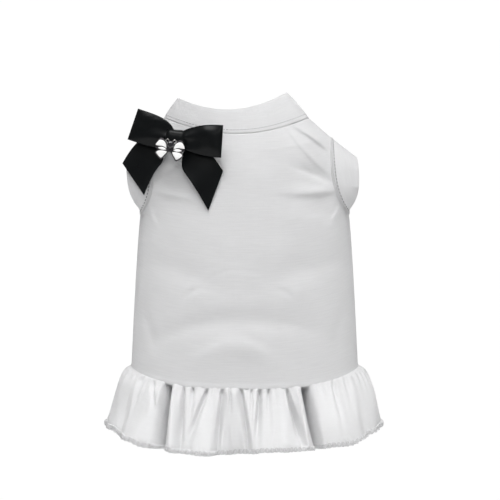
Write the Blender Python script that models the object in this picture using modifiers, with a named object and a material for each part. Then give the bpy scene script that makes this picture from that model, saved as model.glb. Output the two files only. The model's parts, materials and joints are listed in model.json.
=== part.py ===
"""A pet dress: a knitted tube for the trunk with a stand-up neck band, two cap sleeves and a gathered skirt,
and a satin bow with an enamelled charm on one shoulder.

Metres, +Z up. The wearer's back faces -Y, and its head comes out upwards. The origin is the middle of the neck
opening, level with the two ends of the seam between the band and the trunk.
"""

import math
from collections import namedtuple

import bmesh
import bpy
import numpy as np
from mathutils import Matrix, Vector
from mathutils.bvhtree import BVHTree

# Walls of the cloth, and the clearance that keeps sewn pieces apart
JERSEY_WALL = 0.0012
BAND_WALL = 0.0020
RIBBON_WALL = 0.0010
SEAM_GAP = 0.0004

# Trunk: drops are measured down from the ends of the neck seam, widths and depths from the trunk's axis
BODY_DROP = 0.1986
ARMPIT_DROP = 0.0770
SHOULDER_DROP = 0.0158
HEM_HALF_WIDTH = 0.0910
ARMPIT_HALF_WIDTH = 0.0836
YOKE_HALF_WIDTH = 0.0722
NECK_HALF_WIDTH = 0.0581
BACK_DEPTH = 0.0480
BELLY_DEPTH = 0.0465
NECK_BACK_DEPTH = 0.0350
NECK_BELLY_DEPTH = 0.0330
TRUNK_SHIFT = 0.0066
ARMHOLE_HALF_DEPTH = 0.0262
HEM_BACK_DIP = 0.0164
HEM_BELLY_RISE = 0.0080
NECK_BACK_DIP = 0.0134
NECK_BELLY_DIP = 0.0240
CREASE_DEPTH = 0.0022
ROUNDNESS = 2.3

# Neck band
BAND_HEIGHT = 0.0181
BAND_TOP_HALF_WIDTH = 0.0440
BAND_TOP_SHIFT = -0.0032
BAND_TOP_TILT = 0.0023
BAND_TOP_BACK_DEPTH = 0.0265
BAND_TOP_BELLY_DEPTH = 0.0245
BAND_TOP_BACK_DIP = 0.0120
BAND_TOP_BELLY_DIP = 0.0220
BAND_BULGE = 0.0008

# Cap sleeves
SLEEVE_LENGTH = 0.0203
SLEEVE_SLOPE = 0.0156
SLEEVE_OPENING_HALF_DEPTH = 0.0225
SLEEVE_BULGE = 0.0016

# Skirt
SKIRT_LENGTH = 0.0470
SKIRT_MIDDLE_DROP = 0.0072
SKIRT_FLARE = 0.0200
FOLD_HEIGHT = 0.0052
SKIRT_INSET = 0.0006

# Bow on the shoulder: places are measured from the origin, as seen from the back
BOW_X = -0.0479
BOW_Z = -0.0174
BOW_TURN = 0.30
RIBBON_WIDTH = 0.0260
LOOP_LENGTH = 0.0368
LOOP_HALF_THICKNESS = 0.0052
LOOP_ANGLES = {"left": 161.0, "right": -3.7}
TAILS = {
    "left": {"start": (-0.62, -0.30), "bend": (-0.865, -0.154), "end": (-1.327, -1.238), "slant": 0.323},
    "right": {"start": (0.55, -0.66), "bend": (0.577, -0.5), "end": (1.212, -1.6), "slant": -0.412},
}
KNOT_WIDTH = 0.0112
KNOT_HEIGHT = 0.0150
KNOT_FRONT = 0.0118
KNOT_ANGLE = -10.0
BOW_CLEARANCE = 0.0006

# Charm on the bow
CHARM_X = -0.0529
CHARM_Z = -0.0265
CHARM_TILT = -8.0
CHARM_HALF_WIDTH = 0.0118
PLATE_WALL = 0.0012
ENAMEL_WALL = 0.0007
STONE_RADIUS = 0.0032
STONE_HEIGHT = 0.0026
SHANK_RADIUS = 0.0018
CHARM_GAP = 0.0003

BACK, BELLY = -1, 1

# Soft creases of the back: middle across (share of the yoke half width), middle down (share of the body drop),
# half length and half width (shares of the yoke half width), slope in degrees, and lift (share of the crease
# depth)
Crease = namedtuple("Crease", "name across down long wide slope lift")
CREASES = (
    Crease("chest pull", 0.0, 0.40, 0.95, 0.11, 0, -0.4),
    Crease("left armhole pull", -0.80, 0.28, 0.28, 0.06, 24, -0.6),
    Crease("right armhole pull", 0.78, 0.28, 0.30, 0.06, -14, -0.7),
    Crease("right shoulder pull", 0.72, 0.12, 0.36, 0.05, -35, -0.55),
    Crease("left underarm fall", -1.14, 0.49, 0.36, 0.07, -78, -0.7),
    Crease("right underarm fall", 1.02, 0.49, 0.36, 0.07, 78, -0.7),
    Crease("left lower arc", -0.45, 0.81, 0.42, 0.12, 17, -0.7),
    Crease("right lower arc", 0.42, 0.81, 0.42, 0.12, -17, -0.7),
    Crease("left side hollow", -1.05, 0.86, 0.34, 0.12, -65, -0.7),
    Crease("right side hollow", 1.0, 0.86, 0.34, 0.12, 65, -0.7),
    Crease("middle swell", -0.1, 0.88, 0.45, 0.13, 0, 0.6),
)

# Folds of the skirt's back: place at the seam and at the hem (shares of the hem's half width, left negative),
# half widths there, lift at seam, middle and hem (shares of the fold height), and 2 for a round crest or 4 for a
# flat one
Fold = namedtuple("Fold", "name top hem wide lift crest")
FOLDS = (
    Fold("left side valley", -0.94, -0.915, (0.035, 0.04), (0, -0.5, -0.7), 2),
    Fold("left short gather", -0.82, -0.82, (0.03, 0.03), (-0.5, -0.1, 0), 2),
    Fold("left flute", -0.72, -0.80, (0.05, 0.095), (0.3, 0.6, 0.6), 4),
    Fold("left deep valley", -0.65, -0.625, (0.034, 0.04), (-0.9, -1.1, -1), 2),
    Fold("left bright ridge", -0.595, -0.56, (0.032, 0.04), (0.5, 0.8, 0.75), 2),
    Fold("left crease", -0.53, -0.50, (0.03, 0.036), (-0.4, -0.6, -0.5), 2),
    Fold("left gather", -0.45, -0.43, (0.03, 0.05), (-0.4, -0.3, 0), 2),
    Fold("left swell", -0.40, -0.36, (0.035, 0.09), (0.3, 0.3, 0.35), 2),
    Fold("beside flute", -0.20, -0.215, (0.035, 0.04), (-0.2, -0.6, -0.75), 2),
    Fold("middle flute", -0.11, -0.095, (0.05, 0.09), (0.3, 0.8, 0.95), 4),
    Fold("flute's right edge", -0.02, 0.025, (0.03, 0.04), (-0.2, -0.6, -0.7), 2),
    Fold("right gather", 0.18, 0.15, (0.03, 0.05), (-0.45, -0.35, 0), 2),
    Fold("right swell", 0.26, 0.26, (0.04, 0.08), (0.3, 0.35, 0.4), 2),
    Fold("right crease", 0.36, 0.45, (0.03, 0.05), (-0.4, -0.45, -0.2), 2),
    Fold("right bright ridge", 0.45, 0.47, (0.032, 0.036), (0.5, 0.6, 0.6), 2),
    Fold("right deep valley", 0.508, 0.532, (0.034, 0.04), (-0.9, -1.1, -1), 2),
    Fold("right flute", 0.62, 0.77, (0.05, 0.115), (0.4, 0.6, 0.6), 4),
    Fold("right short gather", 0.75, 0.75, (0.03, 0.03), (-0.5, -0.1, 0), 2),
    Fold("right side valley", 0.93, 0.90, (0.035, 0.04), (0, -0.5, -0.7), 2),
)
BELLY_FLUTES = 4.5

# The charm's shapes on its right half, in shares of its half width from its middle: across and up
PLATE_OUTLINE = (
    (0.0, 0.61), (0.21, 0.55), (0.56, 0.71), (0.82, 0.67), (1.0, 0.22), (0.99, 0.05), (0.83, -0.05),
    (0.97, -0.31), (0.54, -0.70), (0.29, -0.46), (0.10, -0.17), (0.0, -0.13),
)
ENAMEL_OUTLINES = {
    "loop": ((0.25, 0.11), (0.34, 0.46), (0.57, 0.64), (0.78, 0.61), (0.93, 0.22), (0.80, 0.20), (0.56, 0.21)),
    "fold": ((0.21, 0.02), (0.45, 0.13), (0.70, 0.12), (0.82, 0.04), (0.64, -0.05), (0.40, -0.06)),
    "tail": ((0.17, -0.11), (0.72, -0.11), (0.90, -0.30), (0.55, -0.61), (0.35, -0.44)),
}
STONE_UP = 0.36


def flow(x, knots, values):
    """A smooth cubic line through the knots, with each knot's slope taken from its neighbours."""
    knots, values = np.asarray(knots, float), np.asarray(values, float)
    slopes = np.gradient(values, knots)
    k = np.clip(np.searchsorted(knots, x, side="right") - 1, 0, len(knots) - 2)
    step = knots[k + 1] - knots[k]
    t = (x - knots[k]) / step
    return (
        (2 * t**3 - 3 * t**2 + 1) * values[k]
        + (t**3 - 2 * t**2 + t) * step * slopes[k]
        + (3 * t**2 - 2 * t**3) * values[k + 1]
        + (t**3 - t**2) * step * slopes[k + 1]
    )


def arm_drops(count):
    """Drops from the armpit up to the shoulder's tip, closer together at both ends."""
    share = 0.5 - 0.5 * np.cos(np.linspace(0, math.pi, count + 1))
    return ARMPIT_DROP + (SHOULDER_DROP - ARMPIT_DROP) * share


def arm_share(drop):
    """0 at the armpit and 1 at the tip of the shoulder."""
    return np.clip((ARMPIT_DROP - drop) / (ARMPIT_DROP - SHOULDER_DROP), 0, 1)


def half_width(drop):
    """Half the trunk's width: flared from armpit to hem, curved in round the armhole and sloped to the neck."""
    low = np.clip((drop - ARMPIT_DROP) / (BODY_DROP - ARMPIT_DROP), 0, 1)
    below = ARMPIT_HALF_WIDTH + (HEM_HALF_WIDTH - ARMPIT_HALF_WIDTH) * low**0.75
    beside = YOKE_HALF_WIDTH + (ARMPIT_HALF_WIDTH - YOKE_HALF_WIDTH) * (1 - arm_share(drop)) ** 4
    above = NECK_HALF_WIDTH + (YOKE_HALF_WIDTH - NECK_HALF_WIDTH) * drop / SHOULDER_DROP
    return np.where(drop >= ARMPIT_DROP, below, np.where(drop >= SHOULDER_DROP, beside, above))


def armhole_depth(drop):
    """How far the armhole's edge stands from the middle plane, 0 at the armpit and at the shoulder's tip."""
    return ARMHOLE_HALF_DEPTH * np.sqrt(1 - (2 * arm_share(drop) - 1) ** 2)


def axis_x(drop):
    """The trunk's axis, which leans so that the neck stands to one side."""
    return np.interp(drop, (0, SHOULDER_DROP, ARMPIT_DROP), (0, 0.6 * TRUNK_SHIFT, TRUNK_SHIFT))


def trunk_depth(drop, side):
    """Distance from the middle plane to the middle of the back or of the belly."""
    neck, full = (NECK_BACK_DEPTH, BACK_DEPTH) if side == BACK else (NECK_BELLY_DEPTH, BELLY_DEPTH)
    knots = (0, SHOULDER_DROP, ARMPIT_DROP, 0.5 * (ARMPIT_DROP + BODY_DROP), BODY_DROP)
    return flow(drop, knots, (neck, neck + 0.42 * (full - neck), full, 1.04 * full, full))


def row_dip(drop, side):
    """How far the middle of a row of the trunk hangs below its two ends."""
    knots = (0, SHOULDER_DROP, ARMPIT_DROP, 0.5 * (ARMPIT_DROP + BODY_DROP), BODY_DROP)
    if side == BACK:
        dips = (NECK_BACK_DIP, 0.8 * NECK_BACK_DIP, 0.4 * NECK_BACK_DIP, 0.5 * HEM_BACK_DIP, HEM_BACK_DIP)
    else:
        dips = (NECK_BELLY_DIP, 0.7 * NECK_BELLY_DIP, 0.2 * NECK_BELLY_DIP, 0, -HEM_BELLY_RISE)
    return flow(drop, knots, dips)


def dip_shape(u, drop):
    """1 in the middle of a row and 0 at its ends: a bow at the neck, squarer with round corners at the hem."""
    low = drop / BODY_DROP
    return (1 - np.abs(u) ** (2 + low)).clip(0) ** (1 - 0.25 * low)


def crease_lift(x, z):
    """Sum of the back's soft creases: each is a long bell-shaped ridge or hollow lying at its own slope."""
    total = np.zeros_like(x)
    for crease in CREASES:
        across = (x - TRUNK_SHIFT) / YOKE_HALF_WIDTH - crease.across
        down = (-z / BODY_DROP - crease.down) * BODY_DROP / YOKE_HALF_WIDTH
        slope = math.radians(crease.slope)
        along = across * math.cos(slope) - down * math.sin(slope)
        beside = across * math.sin(slope) + down * math.cos(slope)
        total += crease.lift * np.exp(-((along / crease.long) ** 2) - (beside / crease.wide) ** 2)
    return CREASE_DEPTH * total


def round_section(w):
    """The tube's half section: 1 in the middle and 0 at its two sides."""
    return np.sqrt((1 - np.abs(w) ** ROUNDNESS).clip(0))


def cut_share(drop, side):
    """Share of the tube's half width at which the armhole or the side seam cuts it."""
    edge = np.maximum(armhole_depth(drop), SEAM_GAP / 2)
    return (1 - (edge / trunk_depth(drop, side)) ** 2) ** (1 / ROUNDNESS)


def trunk_surface(side, drops, columns):
    """Rows by columns of points of the back or the belly, from the hem up."""
    u = np.sin(np.linspace(-math.pi / 2, math.pi / 2, columns + 1))[None, :] * -side
    drop = drops[:, None]
    section = round_section(u * cut_share(drop, side))
    x = axis_x(drop) + half_width(drop) * u
    y = trunk_depth(drop, side) * section
    z = -(drop + row_dip(drop, side) * dip_shape(u, drop))
    if side == BACK:
        y = y + crease_lift(x, z) * (1 - np.abs(u) ** 6)
    return np.stack((x, side * y, z), axis=-1)


def trunk_rows(low, arm, top):
    """Drops of the rows from the hem to the neck, with rows at the armpit and at the shoulder's tip."""
    return np.concatenate((
        np.linspace(BODY_DROP, ARMPIT_DROP, low + 1)[:-1],
        arm_drops(arm)[:-1],
        np.linspace(SHOULDER_DROP, 0, top + 1),
    ))


def ring_sides(back_columns, belly_columns):
    """For a ring that starts at the left and passes the back first: across share, side and roundness."""
    angle = np.concatenate((
        np.linspace(0, math.pi, back_columns + 1)[:-1],
        np.linspace(math.pi, 2 * math.pi, belly_columns + 1)[:-1],
    ))
    u = -np.cos(angle)
    side = np.where(np.sin(angle) >= 0, BACK, BELLY)
    return u, side, round_section(u)


def by_side(side, back, belly):
    return np.where(side == BACK, back, belly)


def band_surface(columns, rows):
    """Points of the neck band: a cone from the trunk's neck edge to its rim, a little full in the middle."""
    u, side, section = ring_sides(columns, columns)
    low_x = NECK_HALF_WIDTH * u
    low_y = side * by_side(side, NECK_BACK_DEPTH, NECK_BELLY_DEPTH) * section
    low_z = SEAM_GAP - by_side(side, NECK_BACK_DIP, NECK_BELLY_DIP) * dip_shape(u, 0)
    top_x = BAND_TOP_SHIFT + BAND_TOP_HALF_WIDTH * u
    top_y = side * by_side(side, BAND_TOP_BACK_DEPTH, BAND_TOP_BELLY_DEPTH) * section
    top_dip = by_side(side, BAND_TOP_BACK_DIP, BAND_TOP_BELLY_DIP) * dip_shape(u, 0)
    top_z = BAND_HEIGHT + BAND_TOP_TILT * u - top_dip
    t = np.linspace(0, 1, rows + 1)[:, None]
    swell = BAND_BULGE * np.sin(math.pi * t)
    x = low_x + (top_x - low_x) * t + swell * u
    y = low_y + (top_y - low_y) * t + swell * side * section
    z = low_z + (top_z - low_z) * t
    return np.stack((x, y, z), axis=-1)


def sleeve_surface(hand, arm_rows, rows):
    """Points of a cap sleeve from the armhole's edge outwards: hand is -1 for the left and 1 for the right."""
    drop = arm_drops(arm_rows)[::-1]
    drop = np.concatenate((drop, drop[-2:0:-1]))[None, :]
    side = np.concatenate((np.full(arm_rows + 1, BACK), np.full(arm_rows - 1, BELLY)))[None, :]
    share = arm_share(drop)
    open_share = armhole_depth(drop) / ARMHOLE_HALF_DEPTH
    reach = SLEEVE_LENGTH * (1 - 0.95 * (1 - share) ** 4.7)
    t = np.linspace(0, 1, rows + 1)[:, None]
    edge_depth = open_share * (ARMHOLE_HALF_DEPTH + (SLEEVE_OPENING_HALF_DEPTH - ARMHOLE_HALF_DEPTH) * t)
    swell = SLEEVE_BULGE * np.sin(math.pi * t)
    x = axis_x(drop) + hand * (half_width(drop) + SEAM_GAP + reach * t)
    y = side * (edge_depth + swell * open_share)
    z = -drop - SLEEVE_SLOPE * share**3 * t + 0.2 * SLEEVE_LENGTH * (1 - share) ** 2 * t
    points = np.stack(np.broadcast_arrays(x, y, z), axis=-1)
    return points if hand > 0 else points[:, ::-1]


def fold_lift(u, t):
    """Sum of the back's folds at a share of the hem's half width, t from the seam to the skirt's own hem."""
    total = np.zeros(np.broadcast(u, t).shape)
    for fold in FOLDS:
        middle = fold.top + (fold.hem - fold.top) * t
        width = fold.wide[0] + (fold.wide[1] - fold.wide[0]) * t
        top, half, hem = fold.lift
        lift = top * (1 - t) * (1 - 2 * t) + 4 * half * t * (1 - t) + hem * t * (2 * t - 1)
        total += lift * np.exp(-(np.abs((u - middle) / width) ** fold.crest))
    return total


def skirt_surface(back_columns, belly_columns, rows):
    """Points of the gathered skirt from the hem seam down: a flaring ring that swings in and out in folds."""
    u, side, section = ring_sides(back_columns, belly_columns)
    t = (np.linspace(0, 1, rows + 1) ** 1.3)[:, None]
    depth = by_side(side, BACK_DEPTH, BELLY_DEPTH)
    outward = np.stack((u / HEM_HALF_WIDTH, side * section / depth))
    outward = outward / np.linalg.norm(outward, axis=0)
    flutes = 0.9 * np.sin(math.pi * BELLY_FLUTES * (u + 1)) * t**0.7 * (1 - np.abs(u) ** 6)
    folds = FOLD_HEIGHT * np.where(side == BACK, fold_lift(u, t), flutes) * np.clip(8 * t, 0, 1)
    flare = SKIRT_FLARE * t ** (0.85 - 0.4 * u**2)
    out = flare + folds - SKIRT_INSET
    x = TRUNK_SHIFT + HEM_HALF_WIDTH * u + out * outward[0]
    y = side * depth * section + out * outward[1]
    middle = dip_shape(u, BODY_DROP)
    hem_dip = by_side(side, HEM_BACK_DIP, -HEM_BELLY_RISE) * middle
    z = -BODY_DROP - hem_dip - SEAM_GAP - (SKIRT_LENGTH + SKIRT_MIDDLE_DROP * middle) * t
    return np.stack(np.broadcast_arrays(x, y, z), axis=-1)[::-1]


def material(name, colour, roughness, metallic=0.0):
    made = bpy.data.materials.new(name)
    made.use_nodes = True
    shader = made.node_tree.nodes["Principled BSDF"]
    shader.inputs["Base Color"].default_value = (*colour, 1)
    shader.inputs["Roughness"].default_value = roughness
    shader.inputs["Metallic"].default_value = metallic
    return made


def add(name, data, finish, collection):
    made = bpy.data.objects.new(name, data)
    made.data.materials.append(finish)
    collection.objects.link(made)
    return made


def grid_mesh(name, points, closed):
    """A mesh of four-sided faces over rows by columns of points, its columns joined into a ring if closed."""
    rows, columns = points.shape[:2]
    number = np.arange(rows * columns).reshape(rows, columns)
    after = np.roll(number, -1, axis=1) if closed else number[:, 1:]
    here = number if closed else number[:, :-1]
    faces = np.stack((here[:-1], after[:-1], after[1:], here[1:]), axis=-1).reshape(-1, 4)
    mesh = bpy.data.meshes.new(name)
    mesh.from_pydata(points.reshape(-1, 3).tolist(), [], faces.tolist())
    mesh.shade_smooth()
    return mesh


def cloth(name, points, wall, finish, collection, closed=False):
    """A sheet of cloth: the points are its outer face, and its wall is laid inside them."""
    made = add(name, grid_mesh(name, points, closed), finish, collection)
    made.modifiers.new("wall", "SOLIDIFY").thickness = wall
    return made


def surface_tree(pieces):
    """One tree of the pieces' finished surfaces, for laying the ribbon on them."""
    graph = bpy.context.evaluated_depsgraph_get()
    corners, faces = [], []
    for piece in pieces:
        mesh = piece.evaluated_get(graph).to_mesh()
        start = len(corners)
        corners.extend(piece.matrix_world @ vertex.co for vertex in mesh.vertices)
        faces.extend([start + index for index in face.vertices] for face in mesh.polygons)
    return BVHTree.FromPolygons(corners, faces)


def cloth_in_front(tree, x, z, fallback):
    """The y of the cloth seen from the back at x, z, or the fallback where there is none."""
    hit = tree.ray_cast(Vector((x, -1, z)), Vector((0, 1, 0)))[0]
    return hit.y if hit else fallback


def neighbours(grid, reach):
    """The grid's values shifted every way up to the reach, with its border values carried outwards."""
    padded = np.pad(grid, reach, mode="edge")
    rows, columns = grid.shape
    steps = range(2 * reach + 1)
    return np.stack([padded[i : i + rows, j : j + columns] for i in steps for j in steps])


def lie_over(tree, x, z, free):
    """Depths at which a ribbon lies smoothly over the cloth's highest folds, or free where there is none."""
    cloth_y = np.vectorize(lambda across, up, depth: cloth_in_front(tree, across, up, depth))(x, z, free)
    highest = neighbours(np.minimum(free, cloth_y - RIBBON_WALL - BOW_CLEARANCE), 2).min(axis=0)
    return neighbours(highest, 1).mean(axis=0)


def loop_surface(angle, along_rows, columns):
    """A ribbon loop in the bow's plane (x across, z up, y outwards): out from the knot and back behind itself."""
    p = np.linspace(0, 1, along_rows + 1)[:, None]
    b = np.linspace(-1, 1, columns + 1)[None, :]
    reach = np.sin(math.pi * p).clip(0) ** 0.6
    start = 0.5 * KNOT_WIDTH + BOW_CLEARANCE
    along = start + (LOOP_LENGTH - start) * reach
    turn = np.cos(math.pi * p)
    layer = np.sign(turn) * np.abs(turn) ** 0.7 * (0.5 + 0.5 * reach)
    spread = 0.5 * RIBBON_WIDTH * (0.52 + 0.48 * np.sin(0.5 * math.pi * reach) ** 0.7)
    pleat = 0.28 * np.cos(2.5 * math.pi * b) * (1 - reach) ** 0.8 * (reach + 0.35) * np.sign(turn)
    out = LOOP_HALF_THICKNESS * (1.15 + layer * (1 - 0.22 * b**2) + pleat)
    turned = math.radians(angle)
    across = -spread * b
    x = along * math.cos(turned) - across * math.sin(turned)
    z = along * math.sin(turned) + across * math.cos(turned)
    return np.stack(np.broadcast_arrays(x, out, z), axis=-1)


def tail_surface(tail, along_rows, columns):
    """A ribbon tail in the bow's plane: a curve from the knot past its bend to its end, cut at a slant."""
    t = np.linspace(0, 1, along_rows + 1)[:, None]
    b = np.linspace(-1, 1, columns + 1)[None, :]
    start = np.array(tail["start"]) * (KNOT_WIDTH, KNOT_HEIGHT)
    bend, end = np.array(tail["bend"]) * RIBBON_WIDTH, np.array(tail["end"]) * RIBBON_WIDTH
    slant = tail["slant"] * RIBBON_WIDTH
    middle = (1 - t)[..., None] ** 2 * start + 2 * (t * (1 - t))[..., None] * bend + (t**2)[..., None] * end
    course = (1 - t)[..., None] * (bend - start) + t[..., None] * (end - bend)
    course = course / np.linalg.norm(course, axis=-1, keepdims=True)
    side = np.stack((-course[..., 1], course[..., 0]), axis=-1)
    spread = 0.5 * RIBBON_WIDTH * (0.30 + 0.70 * np.sin(0.5 * math.pi * np.clip(t / 0.5, 0, 1)))
    return middle - side * (spread * b)[..., None] - course * (slant * b * t**3)[..., None]


def on_bow(points, depth):
    """Moves points from the bow's plane (x across, y outwards, z up) to the shoulder, turned with it."""
    x, out, z = points[..., 0], points[..., 1], points[..., 2]
    return np.stack((BOW_X + x, depth - BOW_TURN * x - out, BOW_Z + z), axis=-1)


def bow_depth(tree, loops):
    """The y of the bow's plane at the knot that keeps every loop clear of what lies behind it."""
    free = 0.0
    for points in loops:
        for x, y, z in on_bow(points, 0.0).reshape(-1, 3):
            free = min(free, cloth_in_front(tree, x, z, 0.0) - BOW_CLEARANCE - y)
    return free


def add_bow(dress_pieces, satin, collection):
    """Two tails that lie on the cloth, two loops that stand clear of both, and the knot between them."""
    tree = surface_tree(dress_pieces)
    seat = cloth_in_front(tree, BOW_X, BOW_Z, 0.0) - RIBBON_WALL - BOW_CLEARANCE
    tails = []
    for hand, tail in TAILS.items():
        plane = tail_surface(tail, 8, 4)
        x, z = BOW_X + plane[..., 0], BOW_Z + plane[..., 1]
        y = lie_over(tree, x, z, seat - BOW_TURN * plane[..., 0])
        tails.append(cloth("bow_tail_" + hand, np.stack((x, y, z), axis=-1), RIBBON_WALL, satin, collection))
    bpy.context.view_layer.update()
    loops = {hand: loop_surface(angle, 14, 6) for hand, angle in LOOP_ANGLES.items()}
    depth = bow_depth(surface_tree([*dress_pieces, *tails]), loops.values())
    for hand, points in loops.items():
        cloth("bow_loop_" + hand, on_bow(points, depth), RIBBON_WALL, satin, collection)
    add_knot(tree, depth, satin, collection)
    return depth


def add_knot(tree, depth, satin, collection):
    """The ribbon wrapped round the bow's middle: a pillow whose back reaches the cloth that it is sewn to."""
    ball = bmesh.new()
    bmesh.ops.create_uvsphere(ball, u_segments=16, v_segments=10, radius=1)
    turned = math.radians(KNOT_ANGLE)
    seat = min(
        cloth_in_front(tree, BOW_X + 0.5 * KNOT_WIDTH * across, BOW_Z + 0.5 * KNOT_HEIGHT * up, 0.0)
        for across in (-1, 0, 1)
        for up in (-1, 0, 1)
    ) - BOW_CLEARANCE
    front = depth - KNOT_FRONT
    for vertex in ball.verts:
        squared = [math.copysign(abs(value) ** 0.72, value) for value in vertex.co]
        across, up = 0.5 * KNOT_WIDTH * squared[0], 0.5 * KNOT_HEIGHT * squared[2]
        vertex.co = (
            BOW_X + across * math.cos(turned) - up * math.sin(turned),
            0.5 * (seat + front) + 0.5 * (seat - front) * squared[1],
            BOW_Z + across * math.sin(turned) + up * math.cos(turned),
        )
    mesh = bpy.data.meshes.new("bow_knot")
    ball.to_mesh(mesh)
    ball.free()
    mesh.shade_smooth()
    return add("bow_knot", mesh, satin, collection)


def charm_frame(front):
    """The charm's own frame: x across, y up and z towards the viewer, tilted in the bow's plane."""
    place = Matrix.Translation((CHARM_X, front, CHARM_Z))
    return place @ Matrix.Rotation(math.radians(-CHARM_TILT), 4, "Y") @ Matrix.Rotation(math.pi / 2, 4, "X")


def flat_shape(name, outline, wall, finish, collection):
    """A plate with this outline, its back face at the object's own z of 0."""
    curve = bpy.data.curves.new(name, "CURVE")
    curve.dimensions = "2D"
    curve.fill_mode = "BOTH"
    curve.extrude = wall / 2
    spline = curve.splines.new("POLY")
    spline.points.add(len(outline) - 1)
    for point, (across, up) in zip(spline.points, outline):
        point.co = (across * CHARM_HALF_WIDTH, up * CHARM_HALF_WIDTH, 0, 1)
    spline.use_cyclic_u = True
    return add(name, curve, finish, collection)


def as_mesh(piece, collection):
    """The piece as a mesh object with its caps welded, in place of its curve."""
    graph = bpy.context.evaluated_depsgraph_get()
    mesh = bpy.data.meshes.new_from_object(piece.evaluated_get(graph))
    welded = bmesh.new()
    welded.from_mesh(mesh)
    bmesh.ops.remove_doubles(welded, verts=welded.verts, dist=1e-6)
    bmesh.ops.recalc_face_normals(welded, faces=welded.faces)
    welded.to_mesh(mesh)
    welded.free()
    name, place = piece.name, piece.matrix_world.copy()
    bpy.data.objects.remove(piece)
    made = bpy.data.objects.new(name, mesh)
    made.matrix_world = place
    collection.objects.link(made)
    return made


def add_charm(knot_tree, knot_front, metal, enamel, jet, collection, cutters):
    """A bow-shaped metal plate with a sewing shank behind, six enamel fields and a black stone in front."""
    plate_back = knot_front - CHARM_GAP
    frame = charm_frame(plate_back)
    outline = PLATE_OUTLINE + tuple((-across, up) for across, up in PLATE_OUTLINE[-2:0:-1])
    plate = flat_shape("charm_plate", outline, PLATE_WALL, metal, collection)
    plate.matrix_world = frame @ Matrix.Translation((0, 0, PLATE_WALL / 2))
    bpy.context.view_layer.update()
    plate = as_mesh(plate, collection)
    add_shank(plate, knot_tree, frame, metal, cutters)
    face = PLATE_WALL + CHARM_GAP
    for name, right in ENAMEL_OUTLINES.items():
        for hand, way in (("left", -1), ("right", 1)):
            shape = tuple((way * across, up) for across, up in right)
            field = flat_shape(f"enamel_{name}_{hand}", shape, ENAMEL_WALL, enamel, collection)
            field.matrix_world = frame @ Matrix.Translation((0, 0, face + ENAMEL_WALL / 2))
    add_stone(frame @ Matrix.Translation((0, STONE_UP * CHARM_HALF_WIDTH, face)), jet, collection)


def add_shank(plate, knot_tree, frame, metal, cutters):
    """A round post soldered to the plate's back, which ends just clear of the knot that it is sewn to."""
    foot = frame @ Vector((0, STONE_UP * CHARM_HALF_WIDTH, 0))
    rim = [Vector((math.cos(turn), 0, math.sin(turn))) * SHANK_RADIUS for turn in np.arange(8) * math.pi / 4]
    knot_y = min(cloth_in_front(knot_tree, foot.x + at.x, foot.z + at.z, foot.y) for at in rim)
    length = max(knot_y - CHARM_GAP - foot.y, 0.0001) + 0.5 * PLATE_WALL
    post = bmesh.new()
    bmesh.ops.create_cone(
        post, cap_ends=True, segments=12, radius1=SHANK_RADIUS, radius2=SHANK_RADIUS, depth=length
    )
    mesh = bpy.data.meshes.new("shank")
    post.to_mesh(mesh)
    post.free()
    shank = add("shank", mesh, metal, cutters)
    middle = 0.5 * PLATE_WALL - 0.5 * length
    shank.matrix_world = frame @ Matrix.Translation((0, STONE_UP * CHARM_HALF_WIDTH, middle))
    shank.hide_render = True
    shank.display_type = "WIRE"
    join = plate.modifiers.new("soldered", "BOOLEAN")
    join.operation = "UNION"
    join.object = shank


def add_stone(place, jet, collection):
    """A round cut stone: a ring of girdle points, a crown of slanting facets and a flat table."""
    profile = ((0.0, 0.0), (0.82, 0.0), (1.0, 0.34), (0.86, 0.72), (0.52, 1.0), (0.0, 1.0))
    mesh = bpy.data.meshes.new("charm_stone")
    points = [(radius * STONE_RADIUS, 0, height * STONE_HEIGHT) for radius, height in reversed(profile)]
    mesh.from_pydata(points, [(i, i + 1) for i in range(len(points) - 1)], [])
    stone = add("charm_stone", mesh, jet, collection)
    turned = stone.modifiers.new("turned", "SCREW")
    turned.steps = turned.render_steps = 12
    turned.use_merge_vertices = True
    turned.merge_threshold = 0.00001
    turned.use_smooth_shade = False
    stone.matrix_world = place


def main():
    for old in list(bpy.data.objects):
        bpy.data.objects.remove(old)
    dress = bpy.data.collections.new("pet_dress")
    cutters = bpy.data.collections.new("cutters")
    bpy.context.scene.collection.children.link(dress)
    bpy.context.scene.collection.children.link(cutters)
    jersey = material("white_jersey", (0.80, 0.80, 0.80), 0.9)
    satin = material("black_satin", (0.012, 0.013, 0.015), 0.35)
    metal = material("black_nickel", (0.05, 0.045, 0.05), 0.3, 1.0)
    enamel = material("white_enamel", (0.88, 0.88, 0.88), 0.15)
    jet = material("jet_glass", (0.01, 0.01, 0.012), 0.05)
    arm_rows = 8
    back_points = trunk_surface(BACK, trunk_rows(12, arm_rows, 3), 30)
    back = cloth("back_panel", back_points, JERSEY_WALL, jersey, dress)
    cloth("belly_panel", trunk_surface(BELLY, trunk_rows(8, arm_rows, 3), 18), JERSEY_WALL, jersey, dress)
    band = cloth("neck_band", band_surface(20, 4), BAND_WALL, jersey, dress, closed=True)
    sleeves = [
        cloth("sleeve_" + hand, sleeve_surface(way, arm_rows, 4), JERSEY_WALL, jersey, dress, closed=True)
        for hand, way in (("left", -1), ("right", 1))
    ]
    cloth("skirt", skirt_surface(96, 40, 6), JERSEY_WALL, jersey, dress, closed=True)
    bpy.context.view_layer.update()
    depth = add_bow([back, band, *sleeves], satin, dress)
    bpy.context.view_layer.update()
    knot = bpy.data.objects["bow_knot"]
    add_charm(surface_tree([knot]), depth - KNOT_FRONT, metal, enamel, jet, dress, cutters)


main()
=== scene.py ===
"""The looks of a pet dress: white jersey with a frilled skirt, and a satin bow with an enamelled charm on it.

Metres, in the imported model's frame: +Z up, the back towards -Y, the origin in the middle of the neck.
"""

import json
import math

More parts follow.
